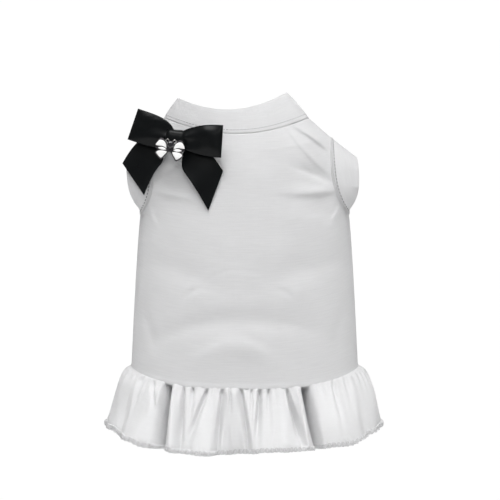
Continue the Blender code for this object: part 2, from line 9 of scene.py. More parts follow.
import bmesh
import bpy
import numpy as np
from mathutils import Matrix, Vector

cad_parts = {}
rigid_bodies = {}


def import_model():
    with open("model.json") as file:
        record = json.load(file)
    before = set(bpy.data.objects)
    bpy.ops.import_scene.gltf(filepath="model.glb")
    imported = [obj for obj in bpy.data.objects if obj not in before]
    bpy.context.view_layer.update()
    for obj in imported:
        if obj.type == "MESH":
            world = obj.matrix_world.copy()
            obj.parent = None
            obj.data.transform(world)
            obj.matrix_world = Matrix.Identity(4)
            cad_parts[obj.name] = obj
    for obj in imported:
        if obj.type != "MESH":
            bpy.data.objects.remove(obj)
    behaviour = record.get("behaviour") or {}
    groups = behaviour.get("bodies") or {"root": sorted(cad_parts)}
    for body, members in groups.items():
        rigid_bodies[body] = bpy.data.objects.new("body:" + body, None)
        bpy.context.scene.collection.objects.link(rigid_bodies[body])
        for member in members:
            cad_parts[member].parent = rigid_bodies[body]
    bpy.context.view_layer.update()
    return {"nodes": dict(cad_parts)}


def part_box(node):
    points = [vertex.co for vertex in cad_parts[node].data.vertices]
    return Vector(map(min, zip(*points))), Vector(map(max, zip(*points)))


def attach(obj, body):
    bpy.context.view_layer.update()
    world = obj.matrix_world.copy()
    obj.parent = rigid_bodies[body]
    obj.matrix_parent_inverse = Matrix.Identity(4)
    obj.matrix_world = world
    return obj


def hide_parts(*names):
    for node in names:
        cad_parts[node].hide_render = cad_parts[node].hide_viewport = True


for old in list(bpy.data.objects):
    bpy.data.objects.remove(old)
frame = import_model()


# The trunk: a back and a belly cut from white cotton jersey, a fine plain knit, and sewn together down both
# sides and over both shoulders. The back hangs longer, and its hem laps over the gathers of the skirt.

BACK, BELLY = -1, 1
BODY_DROP = 0.1986
ARMPIT_DROP = 0.0770
SHOULDER_DROP = 0.0158
HEM_HALF_WIDTH = 0.0910
ARMPIT_HALF_WIDTH = 0.0836
YOKE_HALF_WIDTH = 0.0722
NECK_HALF_WIDTH = 0.0581
BACK_DEPTH = 0.0480
BELLY_DEPTH = 0.0465
NECK_BACK_DEPTH = 0.0350
NECK_BELLY_DEPTH = 0.0330
TRUNK_SHIFT = 0.0066
ARMHOLE_HALF_DEPTH = 0.0262
HEM_BACK_DIP = 0.0164
HEM_BELLY_RISE = 0.0080
NECK_BACK_DIP = 0.0134
NECK_BELLY_DIP = 0.0240
ROUNDNESS = 2.3
JERSEY_WALL = 0.0008
HEM_LAP = 0.0016
HEM_LIFT = 0.0004
WALE = 0.00074
COURSE = 0.00056
KNIT_DEPTH = 0.00022
CLOTH_RIPPLE = 0.00028
CLOTH_RIPPLE_LENGTH = 0.034
RIPPLE_WAVES = 16
# The knit's two tones: the darker one serves as painted shade in the grooves between the stitches, mixed with
# the yarn's random tone.
JERSEY_WHITE = (0.83, 0.83, 0.835)
JERSEY_SHADE = (0.66, 0.66, 0.668)

# Creases of the back, in millimetres from the origin. Each runs from its left end to its right end, bowed up
# in the middle, with one width above its line and one below. Its lift sinks the cloth when below 0.
CREASE_GAIN = 1.25
CREASE_COLUMNS = ("left_x", "left_z", "right_x", "right_z", "bow", "above", "below", "lift")
CREASES = (
    (46.0, -6.0, 75.7, -27.0, 1.0, 5.0, 2.2, 3.4),
    (44.5, -14.0, 72.0, -43.6, -1.5, 2.6, 1.5, 0.9),
    (47.0, -40.5, 79.5, -54.0, 1.0, 6.5, 2.2, -2.2),
    (44.0, -60.8, 85.0, -57.6, -1.0, 5.0, 2.4, 2.4),
    (76.6, -84.0, 84.2, -68.0, 0.0, 1.8, 6.0, 2.0),
    (-65.5, -52.0, -52.0, -41.5, 0.5, 5.5, 2.2, -2.4),
    (-69.0, -58.0, -41.0, -63.6, 0.0, 5.0, 2.6, 2.2),
    (-72.0, -68.0, -65.6, -84.0, 0.0, 1.8, 6.0, 2.0),
    (-81.0, -114.0, -17.0, -134.0, 3.0, 12.0, 9.0, -1.6),
    (23.0, -134.0, 92.0, -114.0, 3.0, 12.0, 9.0, -1.6),
    (-72.0, -181.0, 76.0, -177.0, 17.0, 10.0, 8.0, -1.7),
    (-34.0, -195.0, 1.0, -179.0, 2.0, 5.0, 10.0, 1.5),
    (-7.0, -179.0, 30.0, -194.0, 2.0, 5.0, 10.0, 1.5),
    (-41.1, -144.4, -29.1, -136.4, 1.8, 2.0, 2.6, -0.60),
    (30.9, -138.0, 44.5, -142.4, 1.5, 2.0, 2.6, -0.60),
    (-25.1, -132.4, 20.5, -127.6, 8.0, 1.8, 1.8, -0.30),
    (-77.5, -146.0, -65.0, -182.0, 0.0, 4.0, 4.0, -1.6),
    (78.5, -178.0, 87.5, -150.0, 0.0, 4.0, 4.0, -1.6),
    (-50.0, -172.0, -22.0, -164.0, 2.0, 3.0, 3.5, -0.35),
    (28.0, -163.0, 60.0, -171.0, 2.0, 3.0, 3.5, -0.35),
)


class Field:
    """A value that varies over a surface: sums on it add Math nodes, and node() adds any other node."""

    def __init__(self, tree, socket):
        self.tree = tree
        self.socket = socket

    def node(self, kind, settings=(), inputs=(), output=0):
        """Adds a node, sets it up, fills its sockets with numbers or links, and gives one of its outputs."""
        made = self.tree.nodes.new(kind)
        for key, value in dict(settings).items():
            if key == "stops":
                for stop, (place, colour) in zip(made.color_ramp.elements, value):
                    stop.position, stop.color = place, (*colour, 1)
            else:
                setattr(made, key, value)
        for key, value in dict(inputs).items():
            if isinstance(value, Field):
                self.tree.links.new(value.socket, made.inputs[key])
            else:
                made.inputs[key].default_value = value
        return Field(self.tree, made.outputs[output])

    def math(self, operation, *others):
        """A Math node on this value and the others."""
        return self.node("ShaderNodeMath", {"operation": operation}, enumerate((self, *others)))

    def __add__(self, other):
        return self.math("ADD", other)

    def __mul__(self, other):
        return self.math("MULTIPLY", other)

    def __truediv__(self, other):
        return self.math("DIVIDE", other)

    def part(self, index):
        """One of the three numbers of a vector."""
        return self.node("ShaderNodeSeparateXYZ", inputs={0: self}, output=index)

    def noise(self, scale, detail):
        """Noise between 0 and 1 over these coordinates."""
        return self.node("ShaderNodeTexNoise", inputs={"Vector": self, "Scale": scale, "Detail": detail})

    def bump(self, **settings):
        """The normals of a surface of this height."""
        return self.node("ShaderNodeBump", inputs={"Height": self, **settings})

    def mix(self, low, high):
        """The colour low where this is 0 and high where it is 1."""
        low, high = ((*c, 1) if isinstance(c, tuple) else c for c in (low, high))
        return self.node("ShaderNodeMix", {"data_type": "RGBA"}, {0: self, 6: low, 7: high}, 2)


def finish_material(name, roughness, metallic=0.0, **constant):
    """A Principled material. Returns it, its shader node, its Object coordinates and its cloth map."""
    made = bpy.data.materials.new(name)
    made.use_nodes = True
    tree = made.node_tree
    shader = tree.nodes["Principled BSDF"]
    shader.inputs["Roughness"].default_value = roughness
    shader.inputs["Metallic"].default_value = metallic
    for key, value in constant.items():
        shader.inputs[key.replace("_", " ")].default_value = value
    start = Field(tree, None)
    place = start.node("ShaderNodeTexCoord", output="Object")
    cloth = start.node("ShaderNodeUVMap", {"uv_map": "cloth"})
    return made, shader, place, cloth


def feed(shader, **fields):
    """Links fields to the shader's sockets."""
    for key, value in fields.items():
        value.tree.links.new(value.socket, shader.inputs[key.replace("_", " ")])


def jersey(name, light, shade):
    """Plain knit: columns of V stitches, each leg a rounded rib from the column's edge to its middle."""
    made, shader, place, cloth = finish_material(
        name, 0.92, Sheen_Weight=0.25, Sheen_Roughness=0.6, Specular_IOR_Level=0.2
    )
    wander = place.noise(260.0, 2.0)
    leg = (cloth.part(0) / WALE + wander * 0.12).math("PINGPONG", 0.5) * 2
    course = (cloth.part(1) / COURSE + leg * 0.6 + wander * 0.3).math("FRACT")
    rib = (leg * math.pi).math("SINE") * (course * math.pi).math("SINE")
    fuzz = place.noise(1800.0, 3.0)
    drawn_out = cloth.node("ShaderNodeMapping", inputs={"Vector": cloth, "Scale": (60.0, 900.0, 1.0)})
    slub = drawn_out.noise(1.0, 3.0)
    height = rib + fuzz * 0.25 + slub * 0.8
    # Painted shade: the colour darkens in the grooves between the ribs, and the slubs add random yarn tone.
    pale = (rib * 0.45 + slub * 0.55).mix(shade, light)
    feed(shader, Base_Color=pale, Normal=height.bump(Distance=KNIT_DEPTH, Strength=0.9))
    return made


def flow(x, knots, values):
    """A smooth cubic line through the knots, with each knot's slope taken from its neighbours."""
    knots, values = np.asarray(knots, float), np.asarray(values, float)
    slopes = np.gradient(values, knots)
    k = np.clip(np.searchsorted(knots, x, side="right") - 1, 0, len(knots) - 2)
    step = knots[k + 1] - knots[k]
    t = (x - knots[k]) / step
    return (
        (2 * t**3 - 3 * t**2 + 1) * values[k]
        + (t**3 - 2 * t**2 + t) * step * slopes[k]
        + (3 * t**2 - 2 * t**3) * values[k + 1]
        + (t**3 - t**2) * step * slopes[k + 1]
    )


def arm_share(drop):
    """0 at the armpit and 1 at the tip of the shoulder."""
    return np.clip((ARMPIT_DROP - drop) / (ARMPIT_DROP - SHOULDER_DROP), 0, 1)


def half_width(drop):
    """Half the trunk's width: flared below the armpit, curved in at the armhole, sloped in to the neck."""
    low = np.clip((drop - ARMPIT_DROP) / (BODY_DROP - ARMPIT_DROP), 0, 1)
    below = ARMPIT_HALF_WIDTH + (HEM_HALF_WIDTH - ARMPIT_HALF_WIDTH) * low**0.75
    beside = YOKE_HALF_WIDTH + (ARMPIT_HALF_WIDTH - YOKE_HALF_WIDTH) * (1 - arm_share(drop)) ** 4
    above = NECK_HALF_WIDTH + (YOKE_HALF_WIDTH - NECK_HALF_WIDTH) * drop / SHOULDER_DROP
    return np.where(drop >= ARMPIT_DROP, below, np.where(drop >= SHOULDER_DROP, beside, above))


def armhole_depth(drop):
    """How far the armhole's edge stands from the middle plane: 0 at the armpit and at the shoulder's tip, in
    a curve that is a little squarer at the armpit."""
    s = 2 * arm_share(drop) - 1
    return ARMHOLE_HALF_DEPTH * (1 - np.abs(s) ** np.where(s < 0, 2.8, 2.2)) ** np.where(s < 0, 0.42, 0.5)


def axis_x(drop):
    """The trunk's axis, which leans so that the neck stands to one side."""
    return np.interp(drop, (0, SHOULDER_DROP, ARMPIT_DROP), (0, 0.6 * TRUNK_SHIFT, TRUNK_SHIFT))


TRUNK_KNOTS = (0, SHOULDER_DROP, ARMPIT_DROP, 0.5 * (ARMPIT_DROP + BODY_DROP), BODY_DROP)


def evened(drop, values):
    """The cubic line through the trunk's knots, averaged over 12 mm either way, so that no knot shows."""
    return sum(flow(drop + shift, TRUNK_KNOTS, values) for shift in np.linspace(-0.012, 0.012, 7)) / 7


def trunk_depth(drop, side):
    """Distance from the middle plane to the middle of the back or of the belly."""
    neck, full = (NECK_BACK_DEPTH, BACK_DEPTH) if side == BACK else (NECK_BELLY_DEPTH, BELLY_DEPTH)
    depths = (neck, neck + 0.42 * (full - neck), full, 1.04 * full, full)
    low = np.clip((drop - SHOULDER_DROP) / 0.03, 0, 1)
    return flow(drop, TRUNK_KNOTS, depths) * (1 - low) + evened(drop, depths) * low


def row_dip(drop, side):
    """How far the middle of a row of the trunk hangs below its two ends."""
    if side == BACK:
        dips = (NECK_BACK_DIP, 0.8 * NECK_BACK_DIP, 0.4 * NECK_BACK_DIP, 0.5 * HEM_BACK_DIP, HEM_BACK_DIP)
    else:
        dips = (NECK_BELLY_DIP, 0.7 * NECK_BELLY_DIP, 0.2 * NECK_BELLY_DIP, 0, -HEM_BELLY_RISE)
    return flow(drop, TRUNK_KNOTS, dips)


def dip_shape(u, drop):
    """1 in the middle of a row, 0 at its ends: a bow at the neck, squarer with round corners at the hem."""
    low = np.minimum(drop / BODY_DROP, 1)
    return (1 - np.abs(u) ** (2 + low)).clip(0) ** (1 - 0.25 * low)


def crease_lift(x, z):
    """Sum of the creases. On each, a goes from -1 to 1 between its ends and d is the distance above its bowed
    line: the lift is gain·lift·exp(-1.1·a²)·exp(-(d/width)²), with the width above or below the line."""
    total = np.zeros_like(x)
    for row in CREASES:
        crease = dict(zip(CREASE_COLUMNS, row))
        run_x, run_z = crease["right_x"] - crease["left_x"], crease["right_z"] - crease["left_z"]
        half = math.hypot(run_x, run_z) / 2
        across = 1000 * x - (crease["right_x"] + crease["left_x"]) / 2
        up = 1000 * z - (crease["right_z"] + crease["left_z"]) / 2
        a = (across * run_x + up * run_z) / (2 * half**2)
        d = (up * run_x - across * run_z) / (2 * half) - crease["bow"] * (1 - a**2)
        width = np.where(d > 0, crease["above"], crease["below"])
        total += CREASE_GAIN * crease["lift"] * np.exp(-1.1 * a**2 - (d / width) ** 2)
    return total / 1000


def ripple(a, b, length, seed):
    """Soft unevenness between about -1 and 1: sine waves of about this length in seeded directions."""
    draw = np.random.default_rng(seed)
    total = np.zeros(np.broadcast(a, b).shape)
    ranges = ((0, math.pi), (0.7, 1.6), (0, 7))
    for turn, share, start in zip(*(draw.uniform(low, high, RIPPLE_WAVES) for low, high in ranges)):
        total += np.sin((a * math.cos(turn) + b * math.sin(turn)) * 2 * math.pi / (length * share) + start)
    return total / 5


def round_section(w):
    """The tube's half section: 1 in the middle and 0 at its two sides."""
    return np.sqrt((1 - np.abs(w) ** ROUNDNESS).clip(0))


def trunk_points(side, drop, u):
    """Points of the back or the belly: x from the leaning axis, depth from the tube's section, z from the
    sagging rows. The armhole cuts the section short at u = -1 and 1. The back has its creases, and both have
    a soft ripple."""
    edge = armhole_depth(drop)
    cut = (1 - (edge / trunk_depth(drop, side)) ** 2) ** (1 / ROUNDNESS)
    section = round_section(u * (1 - (1 - cut) * u**4))
    lap = HEM_LIFT * np.clip((drop - BODY_DROP) / HEM_LAP + 1.5, 0, 1)
    x = axis_x(drop) + (half_width(drop) + lap * np.abs(u)) * u
    y = (trunk_depth(drop, side) + lap) * section
    z = -(drop + row_dip(drop, side) * dip_shape(u, drop))
    inside = 1 - np.abs(u) ** 6
    if side == BACK:
        y = y + crease_lift(x, z) * (1 - np.abs(u) ** 16)
    y = y + CLOTH_RIPPLE * ripple(x, z, CLOTH_RIPPLE_LENGTH, 3 + side) * inside
    return np.stack(np.broadcast_arrays(x, side * y, z), axis=-1)


def unit(vectors):
    """The vectors, each brought to length 1."""
    return vectors / np.linalg.norm(vectors, axis=-1, keepdims=True)


def normals_of(points, closed=False):
    """Unit normals of a grid of points, from its steps along the columns and down the rows."""
    ring = np.concatenate((points[:, -1:], points, points[:, :1]), axis=1) if closed else points
    across = np.gradient(ring, axis=1)
    across = across[:, 1:-1] if closed else across
    down = np.gradient(points, axis=0)
    normal = np.cross(across, down)
    return normal / np.maximum(np.linalg.norm(normal, axis=-1, keepdims=True), 1e-12)


def lengths(points, axis):
    """Length run along the rows or the columns of a grid from its start."""
    step = np.linalg.norm(np.diff(points, axis=axis), axis=-1)
    start = np.zeros_like(np.take(step, [0], axis=axis))
    return np.cumsum(np.concatenate((start, step), axis=axis), axis=axis)


def path_at(path, run, where):
    """The path's points at other lengths along it than those that are given for its own points."""
    return np.stack([np.interp(where, run, path[:, i]) for i in range(3)], axis=-1)


def closed_up(*paths):
    """The paths, each with its first point once more at its end."""
    return [np.concatenate((path, path[:1])) for path in paths]


def weld(mesh):
    """Merges points that lie in one place, which closes poles and the seams of profiles."""
    merged = bmesh.new()
    merged.from_mesh(mesh)
    bmesh.ops.remove_doubles(merged, verts=merged.verts, dist=1e-6)
    merged.to_mesh(mesh)
    merged.free()


def in_scene(name, data):
    """An object of this data, linked to the scene."""
    made = bpy.data.objects.new(name, data)
    bpy.context.scene.collection.objects.link(made)
    return made


def add_object(name, mesh, material):
    """A smooth object that rides the dress, with its material."""
    mesh.shade_smooth()
    mesh.materials.append(material)
    made = in_scene(name, mesh)
    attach(made, "root")
    return made


def piece(name, points, material, closed=False, wall=None, node=None):
    """A mesh over a grid of points, rows by columns, with the lengths along both as its cloth map. A closed
    one joins its last column to its first. Its wall, if any, is laid behind the faces."""
    rows, columns = points.shape[:2]
    spread = np.concatenate((points, points[:, :1]), axis=1) if closed else points
    run = np.stack((lengths(spread, 1), lengths(spread, 0)), axis=-1)
    run[..., 0] -= run[:, -1:, 0] / 2
    span = columns if closed else columns - 1
    row, column = np.mgrid[0 : rows - 1, 0:span]
    row_corners = np.stack((row, row, row + 1, row + 1), axis=-1).reshape(-1, 4)
    column_corners = np.stack((column, column + 1, column + 1, column), axis=-1).reshape(-1, 4)
    faces = row_corners * columns + column_corners % columns
    mesh = bpy.data.meshes.new(name)
    mesh.from_pydata(points.reshape(-1, 3).tolist(), [], faces.tolist())
    mesh.uv_layers.new(name="cloth").data.foreach_set("uv", run[row_corners, column_corners].reshape(-1))
    weld(mesh)
    made = add_object(name, mesh, material)
    if wall:
        made.modifiers.new("wall", "SOLIDIFY").thickness = wall
    if node:
        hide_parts(node)
    return made


def eased(first, last, count, ease=1.0):
    """Evenly stepped values, or closer together at both ends as ease goes to 1."""
    t = np.linspace(0, 1, count)
    return first + (last - first) * ((1 - ease) * t + ease * (0.5 - 0.5 * np.cos(math.pi * t)))


trunk_drops = np.concatenate((
    eased(BODY_DROP + HEM_LAP, ARMPIT_DROP, 90, 0.5)[:-1],
    eased(ARMPIT_DROP, SHOULDER_DROP, 60)[:-1],
    np.linspace(SHOULDER_DROP, 0, 16),
))[:, None]
trunk_columns = np.sin(np.linspace(-math.pi / 2, math.pi / 2, 170))[None, :]
white_jersey = jersey("white_jersey_knit", JERSEY_WHITE, JERSEY_SHADE)
back_cloth = piece(
    "back_panel_cloth", trunk_points(BACK, trunk_drops, trunk_columns), white_jersey,
    wall=JERSEY_WALL, node="back_panel",
)
belly_cloth = piece(
    "belly_panel_cloth", trunk_points(BELLY, trunk_drops, -trunk_columns), white_jersey,
    wall=JERSEY_WALL, node="belly_panel",
)


# The stitching: white polyester thread in short, even lockstitches that sink into the cloth at both ends,
# where they are painted near black: painted shade of the needle holes. Rows of it hold down the neck seam's
# allowance and the strips over the armhole seams.

THREAD_RADIUS = 0.00038
STITCH_LENGTH = 0.0028
STITCH_PITCH = 0.0028
STITCH_SINK = 0.35
STITCH_RINGS = 6
STITCH_SIDES = 6

thread, thread_shader, thread_place, thread_map = finish_material(
    "white_thread", 0.6, Sheen_Weight=0.3, Specular_IOR_Level=0.4
)
twist = thread_place.noise(2400.0, 2.0)
end_share = thread_map.part(0)
# Painted shade: each stitch's ends are coloured near black for the shade in the needle holes.
painted_hole_shade = end_share.node("ShaderNodeValToRGB", {"stops": ((0.42, (0, 0, 0)), (0.52, (1, 1, 1)))}, {0: end_share})
feed(
    thread_shader,
    Base_Color=painted_hole_shade.mix(twist.mix((0.70, 0.70, 0.71), (0.86, 0.86, 0.87)), (0.06, 0.06, 0.06)),
    Normal=twist.bump(Distance=0.00005),
)


def stitches(name, path, out):
    """Short threads along a path. Each point is the stitch's middle + along·half length·cos a
    + (beside·cos b + out·sin b)·radius·√sin a, and lies deeper by sink·radius·cos⁴ a."""
    run = lengths(path[None], 1)[0]
    count = max(int(run[-1] / STITCH_PITCH), 1)
    middles = (np.arange(count) + 0.5) * run[-1] / count
    middle = path_at(path, run, middles)
    before, after = (path_at(path, run, middles + share * STITCH_PITCH) for share in (-0.3, 0.3))
    along = unit(after - before)
    beside = unit(np.cross(along, path_at(out, run, middles)))
    up = np.cross(beside, along)
    ring = np.arange(STITCH_SIDES)
    a, b = np.meshgrid(
        np.linspace(0.08, math.pi - 0.08, STITCH_RINGS), ring * 2 * math.pi / STITCH_SIDES, indexing="ij"
    )
    width = THREAD_RADIUS * np.sin(a) ** 0.5
    shares = np.stack((np.cos(a) * STITCH_LENGTH / 2, np.cos(b) * width, np.sin(b) * width))
    shares[2] -= STITCH_SINK * THREAD_RADIUS * np.cos(a) ** 4
    points = middle[:, None, None] + sum(
        share[None, ..., None] * way[:, None, None] for share, way in zip(shares, (along, beside, up))
    )
    size = STITCH_RINGS * STITCH_SIDES
    rows = np.arange(STITCH_RINGS - 1)[:, None] * STITCH_SIDES
    beyond = (ring + 1) % STITCH_SIDES
    corners = (rows + ring, rows + STITCH_SIDES + ring, rows + STITCH_SIDES + beyond, rows + beyond)
    starts = np.arange(count)[:, None] * size
    sides = (starts[..., None] + np.stack(corners, axis=-1).reshape(-1, 4)).reshape(-1, 4).tolist()
    ends = (starts + ring).tolist() + (starts + size - 1 - ring).tolist()
    mesh = bpy.data.meshes.new(name)
    mesh.from_pydata(points.reshape(-1, 3).tolist(), [], sides + ends)
    corner = np.empty(len(mesh.loops), int)
    mesh.loops.foreach_get("vertex_index", corner)
    # How near each corner lies to its stitch's end, which the thread's material turns into painted shade.
    end_shares = np.abs(np.cos(a)).reshape(-1)[corner % size]
    run_share = np.stack((end_shares, np.zeros(len(corner))), axis=-1)
    mesh.uv_layers.new(name="cloth").data.foreach_set("uv", run_share.reshape(-1))
    return add_object(name, mesh, thread)


# The neck band: a strip of the same jersey folded double along its top edge, sewn on with both raw edges
# turned down inside the neck, and topstitched just above the seam.

BAND_HEIGHT = 0.0181
BAND_TOP_HALF_WIDTH = 0.0440
BAND_TOP_SHIFT = -0.0032
BAND_TOP_TILT = 0.0023
BAND_TOP_BACK_DEPTH = 0.0265
BAND_TOP_BELLY_DEPTH = 0.0245
BAND_TOP_BACK_DIP = 0.0120
BAND_TOP_BELLY_DIP = 0.0220
BAND_BULGE = 0.0008
BAND_FOLD_RADIUS = 0.0008
BAND_PLY = 0.0006
BAND_STITCH_HEIGHT = 0.0030
BAND_STITCH_SINK = 0.00012
BAND_STEP = 0.0002
BAND_RIPPLE = 0.00022
BAND_RIPPLE_LENGTH = 0.022
BAND_COLUMNS = 110


def ring_sides(back_columns, belly_columns):
    """For a ring that starts at the left and passes the back first: across share, side and roundness."""
    angle = np.concatenate((
        np.linspace(0, math.pi, back_columns + 1)[:-1],
        np.linspace(math.pi, 2 * math.pi, belly_columns + 1)[:-1],
    ))
    u = -np.cos(angle)
    side = np.where(np.sin(angle) >= 0, BACK, BELLY)
    return u, side, round_section(u)


def by_side(side, back, belly):
    """One value on the back and the other on the belly."""
    return np.where(side == BACK, back, belly)


def band_points(columns, t):
    """The band's outer ply: a cone from the trunk's neck edge to the rim, a little full in the middle."""
    u, side, section = ring_sides(columns, columns)
    low_x = NECK_HALF_WIDTH * u
    low_y = side * by_side(side, NECK_BACK_DEPTH, NECK_BELLY_DEPTH) * section
    low_z = -by_side(side, NECK_BACK_DIP, NECK_BELLY_DIP) * dip_shape(u, 0)
    top_x = BAND_TOP_SHIFT + BAND_TOP_HALF_WIDTH * u
    top_y = side * by_side(side, BAND_TOP_BACK_DEPTH, BAND_TOP_BELLY_DEPTH) * section
    top_dip = by_side(side, BAND_TOP_BACK_DIP, BAND_TOP_BELLY_DIP) * dip_shape(u, 0)
    top_z = BAND_HEIGHT + BAND_TOP_TILT * u - top_dip
    swell = BAND_BULGE * np.sin(math.pi * t) + BAND_STEP * np.clip(t * 12, 0, 1)
    x = low_x + (top_x - low_x) * t + swell * u
    y = low_y + (top_y - low_y) * t + swell * side * section
    z = low_z + (top_z - low_z) * t
    y = y + side * section * BAND_RIPPLE * ripple(x * 2, z, BAND_RIPPLE_LENGTH, 8)
    return np.stack((x, y, z), axis=-1)


def fold_back(outer, radius, inner_rows, closed=True):
    """Adds to an outer ply its fold and its inner ply: half a circle of this radius over the last row, then
    the last rows again, moved inwards by the circle's width."""
    out = normals_of(outer, closed)
    up = unit(outer[-1] - outer[-2])
    turn = np.linspace(0, math.pi, 9)[1:-1, None, None]
    fold = outer[-1] + radius * (out[-1] * (np.cos(turn) - 1) + up * np.sin(turn))
    inner = (outer - 2 * radius * out)[::-1][:inner_rows]
    return np.concatenate((outer, fold, inner))


band_rows = np.linspace(0, 1, 16)[:, None]
band_outer = band_points(BAND_COLUMNS, band_rows)
band_cloth = piece(
    "neck_band_cloth", fold_back(band_outer, BAND_FOLD_RADIUS, 16), white_jersey,
    closed=True, wall=BAND_PLY, node="neck_band",
)
stitch_line, above_line = (
    band_points(BAND_COLUMNS, np.full((1, 1), share)) for share in (BAND_STITCH_HEIGHT / BAND_HEIGHT, 0.2)
)
stitch_out = normals_of(np.concatenate((stitch_line, above_line)), True)[0]
band_stitches = stitches(
    "neck_band_stitches", *closed_up(stitch_line[0] - BAND_STITCH_SINK * stitch_out, stitch_out)
)


# The cap sleeves: short pieces of the same jersey, eased into the armholes and turned in at their openings.
# A narrow strip of jersey is stitched over each armhole seam.

SLEEVE_LENGTH = 0.0203
SLEEVE_SLOPE = 0.0156
SLEEVE_OPENING_HALF_DEPTH = 0.0225
SLEEVE_BULGE = 0.0016
SLEEVE_PLY = 0.0007
SLEEVE_FOLD_RADIUS = 0.0007
SLEEVE_RIPPLE = 0.0003
SLEEVE_RIPPLE_LENGTH = 0.018
SLEEVE_TURN_ROWS = 9
STRIP_STITCH_OUT = 0.0014
STRIP_STITCH_RISE = 0.0002
HANDS = {"left": -1, "right": 1}


def sleeve_points(hand, side, drop, t):
    """A cap sleeve from the armhole's edge (t = 0) out to its opening (t = 1): longest at the shoulder."""
    share = arm_share(drop)
    open_share = armhole_depth(drop) / ARMHOLE_HALF_DEPTH
    reach = SLEEVE_LENGTH * (1 - 0.95 * (1 - share) ** 4.7)
    edge_depth = ARMHOLE_HALF_DEPTH + (SLEEVE_OPENING_HALF_DEPTH - ARMHOLE_HALF_DEPTH) * t
    edge_depth = edge_depth * open_share ** (1 + 0.15 * t)
    swell = SLEEVE_BULGE * np.sin(math.pi * t)
    x = axis_x(drop) + hand * (half_width(drop) + reach * t)
    y = side * (edge_depth + swell * open_share)
    z = -drop - SLEEVE_SLOPE * share**3 * t + 0.2 * SLEEVE_LENGTH * (1 - share) ** 2 * t
    points = np.stack(np.broadcast_arrays(x, y, z), axis=-1)
    uneven = ripple(points[..., 0], points[..., 2], SLEEVE_RIPPLE_LENGTH, 21 + hand)
    points[..., 1] += side * SLEEVE_RIPPLE * uneven * open_share
    return points


arm_drops = eased(ARMPIT_DROP, SHOULDER_DROP, 61)
sleeve_drops = np.concatenate((arm_drops[::-1], arm_drops[1:-1]))[None, :]
sleeve_sides = np.repeat((BACK, BELLY), (len(arm_drops), len(arm_drops) - 2))[None, :]
STRIP_PROFILE = (
    (-1.9, -0.3), (-1.9, 0.35), (-1.65, 0.90), (-1.2, 0.95), (-0.95, 0.55), (-0.85, -0.05), (-0.6, -0.05),
    (-0.5, 0.55), (-0.2, 0.95), (0.3, 0.95), (0.6, 0.45), (0.65, -0.3), (0.0, -0.4), (-1.9, -0.3),
)


def armhole_strip(hand, side, drop):
    """A raised strip round the armhole: its profile's places (mm along the cloth, mm out) are laid from the
    seam onto the trunk where they are less than 0 and onto the sleeve where they are more."""
    seam = sleeve_points(hand, side, drop, 0 * drop)
    on_panels = (trunk_points(panel, drop, hand * 0.985 + 0 * drop) for panel in (BACK, BELLY))
    on_trunk = np.where((side == BACK)[..., None], *on_panels)
    on_sleeve = sleeve_points(hand, side, drop, 0.08 + 0 * drop)
    inner, outer = (unit(points - seam) for points in (on_trunk, on_sleeve))
    along = np.roll(seam, -1, axis=1) - np.roll(seam, 1, axis=1)
    out = unit(np.cross(along, outer - inner))
    out = out * np.sign((out[..., 1] * side).mean())
    return seam, inner, outer, out


for hand_name, hand in HANDS.items():
    seam, inner, outer, out = armhole_strip(hand, sleeve_sides, sleeve_drops)
    strip_points = np.stack([
        (seam + abs(s) / 1000 * (inner if s < 0 else outer) + h / 1000 * out)[0] for s, h in STRIP_PROFILE
    ])
    piece(
        f"armhole_strip_{hand_name}", strip_points if hand < 0 else strip_points[:, ::-1], white_jersey,
        closed=True,
    )
    strip_line = (seam + STRIP_STITCH_OUT * outer + STRIP_STITCH_RISE * out)[0]
    stitches(f"armhole_stitches_{hand_name}", *closed_up(strip_line, out[0]))

    cap = sleeve_points(hand, sleeve_sides, sleeve_drops, np.linspace(0, 1, 22)[:, None])
    cap = cap if hand > 0 else cap[:, ::-1]
    sleeve = piece(
        f"sleeve_{hand_name}_cloth", fold_back(cap, SLEEVE_FOLD_RADIUS, SLEEVE_TURN_ROWS), white_jersey,
        closed=True, wall=SLEEVE_PLY, node=f"sleeve_{hand_name}",
    )


# The skirt: a long strip of jersey gathered to the hem's length and sewn inside it, so that it falls in
# flutes and folds. Its lower edge is overlocked, which stretches it and makes it ripple.

SKIRT_LENGTH = 0.0470
SKIRT_MIDDLE_DROP = 0.0072
SKIRT_FLARE = 0.0200
HEM_RISE = 0.0030
HEM_RISE_PLACE = 0.30
HEM_RISE_WIDTH = 0.42
FOLD_HEIGHT = 0.0068
SKIRT_INSET = 0.0006
SKIRT_TUCK = 0.05
SKIRT_PLY = 0.0008
BELLY_FLUTES = 4.5
GATHER_HEIGHT = 0.0009
GATHER_PITCH = 0.0058
HEM_RIPPLE = 0.0011
HEM_RIPPLE_PITCH = 0.0031
HEM_WAVE = 0.0007
SKIRT_RIPPLE = 0.0007
EDGE_START = 0.86
# The frill's jersey is painted lighter than the trunk's: painted light on the flared skirt, which faces up
# into the lights.
LIT_FRILL_WHITE = (0.90, 0.90, 0.905)
LIT_FRILL_SHADE = (0.78, 0.78, 0.788)

